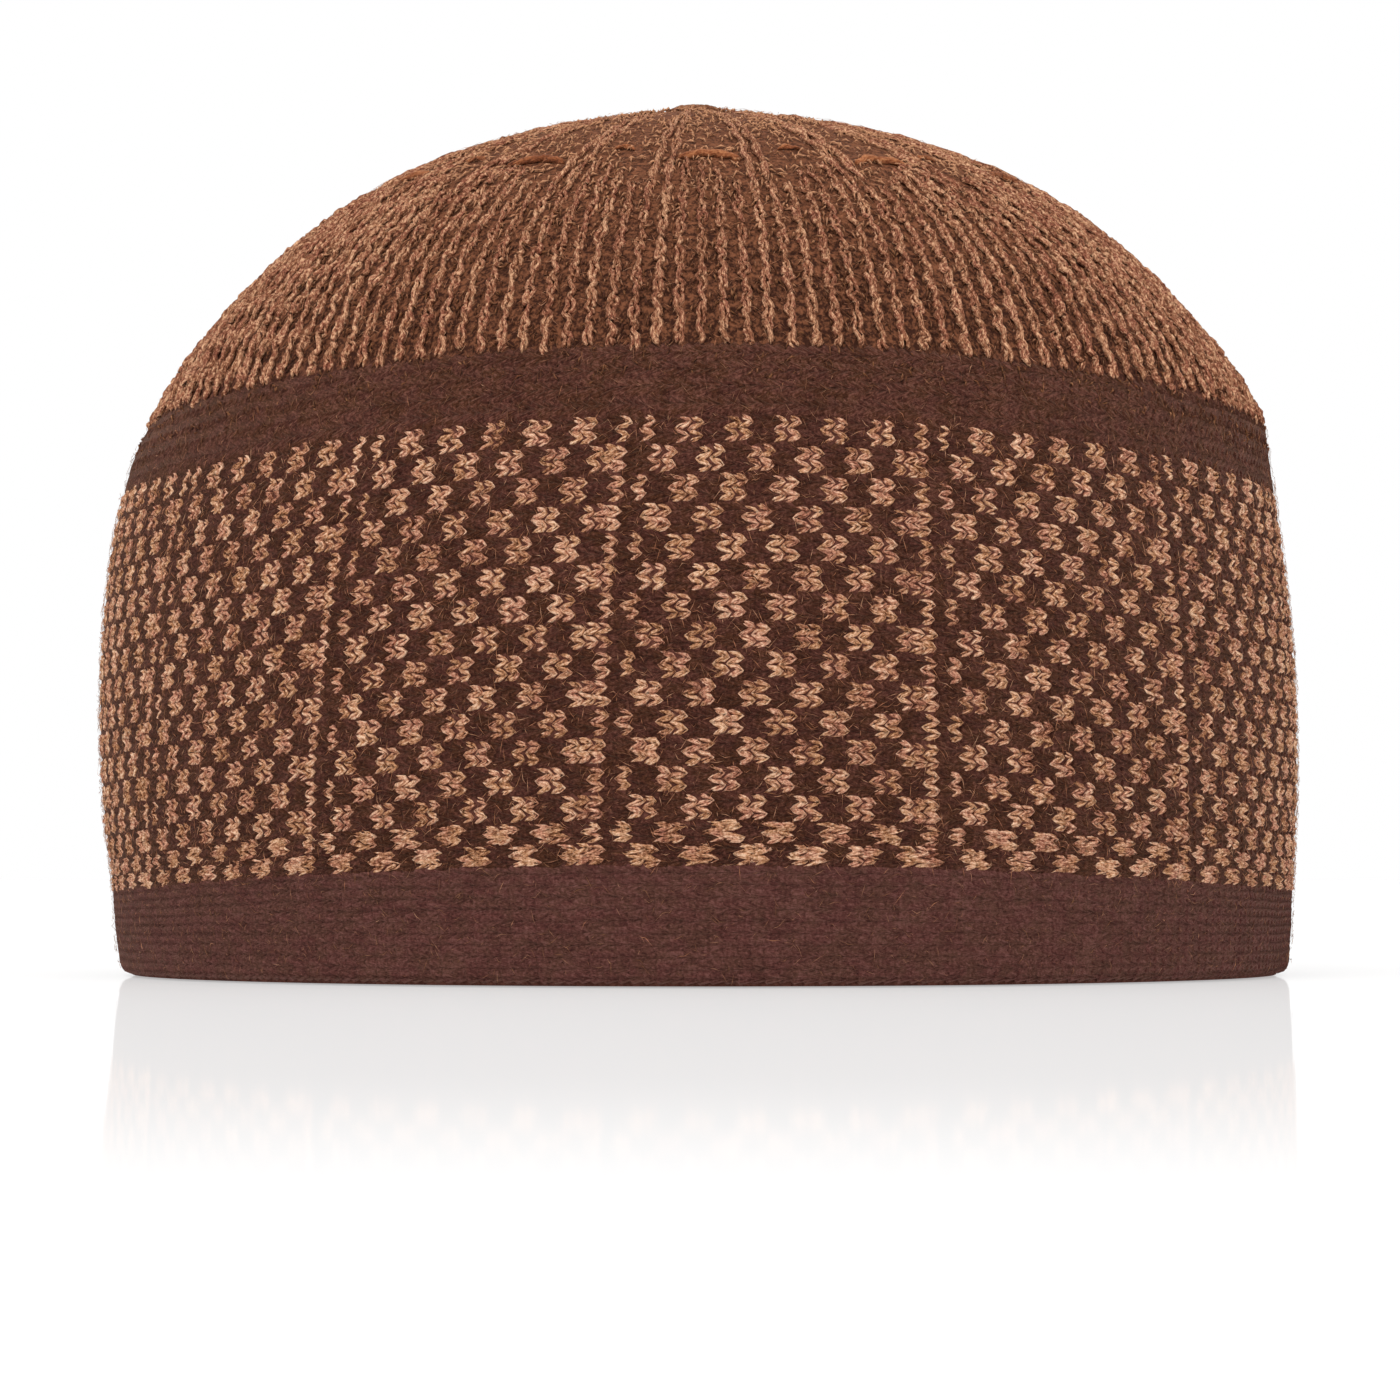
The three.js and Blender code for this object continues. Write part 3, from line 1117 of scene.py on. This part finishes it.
def add_area_light(name, place, target, width, power):
    light = bpy.data.lights.new(name, "AREA")
    light.size = width
    light.energy = power
    lamp = add_object(name, light)
    lamp.location = place
    towards = [b - a for a, b in zip(place, target)]
    lamp.rotation_euler = Vector(towards).to_track_quat("-Z", "Y").to_euler()


class KUFI_OT_stage(bpy.types.Operator):
    """Lays the pale floor, sets the soft lights and places the camera."""

    bl_idname = "kufi.stage"
    bl_label = "Stage"

    def execute(self, context):
        scene = context.scene
        deselect_all()
        bpy.ops.mesh.primitive_plane_add(size=8.0, location=(0.0, 0.0, -0.0002))
        floor = context.object
        floor.name = "pale_floor"
        bpy.ops.object.transform_apply(location=True, rotation=True, scale=True)
        floor.data.materials.append(floor_finish())
        world = bpy.data.worlds.new("studio")
        scene.world = world
        world.use_nodes = True
        background = world.node_tree.nodes["Background"].inputs
        background["Color"].default_value = (1.0, 1.0, 1.0, 1.0)
        background["Strength"].default_value = 1.0
        middle = (0.0, 0.0, 0.07)
        add_area_light("key_light", (-0.5, -1.0, 1.1), middle, 0.8, 7.0)
        add_area_light("fill_light", (0.9, -0.8, 0.6), middle, 0.8, 2.0)
        camera = bpy.data.cameras.new("camera")
        camera.lens = CAMERA_LENS
        camera.sensor_width = SENSOR_WIDTH
        camera.clip_start = 0.01
        eye = add_object("camera", camera)
        eye.location = (CAMERA_ASIDE, -CAMERA_DISTANCE, CAMERA_HEIGHT)
        eye.rotation_euler = (math.pi / 2 + CAMERA_PITCH, 0.0, 0.0)
        scene.camera = eye
        scene.view_settings.view_transform = "Standard"
        return {"FINISHED"}


# ---- Add-on ----


class KufiSizes(bpy.types.PropertyGroup):
    """The sizes and colours that a user would change."""

    yarn_width: FloatProperty(
        name="Yarn width", description="Width of a leg of yarn on the face of the knitting",
        default=0.80 * MM, min=0.4 * MM, max=1.6 * MM, precision=5, unit="LENGTH")
    hair_width: FloatProperty(
        name="Hair width", description="Width of one loose hair",
        default=0.08 * MM, min=0.02 * MM, max=0.2 * MM, precision=6, unit="LENGTH")
    hairs: IntProperty(
        name="Hairs", description="How many loose hairs stand out of the yarn",
        default=30000, min=0, max=60000)
    shell_sides: IntProperty(
        name="Shell sides", description="How many flat sides the shell has round the cap",
        default=130, min=26, max=260)
    brown: FloatVectorProperty(
        name="Brown yarn", description="Colour of the ground", subtype="COLOR",
        default=linear(77, 42, 34)[:3], min=0.0, max=1.0)
    tan: FloatVectorProperty(
        name="Tan yarn", description="Colour of the checks and stripes", subtype="COLOR",
        default=linear(204, 146, 104)[:3], min=0.0, max=1.0)


PIECE_OPERATORS = (KUFI_OT_fabric_shell, KUFI_OT_hem, KUFI_OT_wall, KUFI_OT_crown, KUFI_OT_nub,
                   KUFI_OT_hairs, KUFI_OT_stage)


class KUFI_PT_panel(bpy.types.Panel):
    """Lists the sizes and the pieces of the cap."""

    bl_idname = "KUFI_PT_panel"
    bl_label = "Knitted Kufi"
    bl_space_type = "VIEW_3D"
    bl_region_type = "UI"
    bl_category = "Kufi"

    def draw(self, context):
        sizes = context.scene.kufi_sizes
        for name in KufiSizes.__annotations__:
            self.layout.prop(sizes, name)
        for operator in PIECE_OPERATORS:
            self.layout.operator(operator.bl_idname)


CLASSES = (KufiSizes, *PIECE_OPERATORS, KUFI_PT_panel)


def register():
    for cls in CLASSES:
        bpy.utils.register_class(cls)
    bpy.types.Scene.kufi_sizes = PointerProperty(type=KufiSizes)


def unregister():
    del bpy.types.Scene.kufi_sizes
    for cls in reversed(CLASSES):
        bpy.utils.unregister_class(cls)


def main():
    register()
    bpy.ops.kufi.fabric_shell()
    bpy.ops.kufi.hem()
    bpy.ops.kufi.wall()
    bpy.ops.kufi.crown()
    bpy.ops.kufi.nub()
    bpy.ops.kufi.hairs()
    bpy.ops.kufi.stage()


if __name__ == "__main__":
    main()
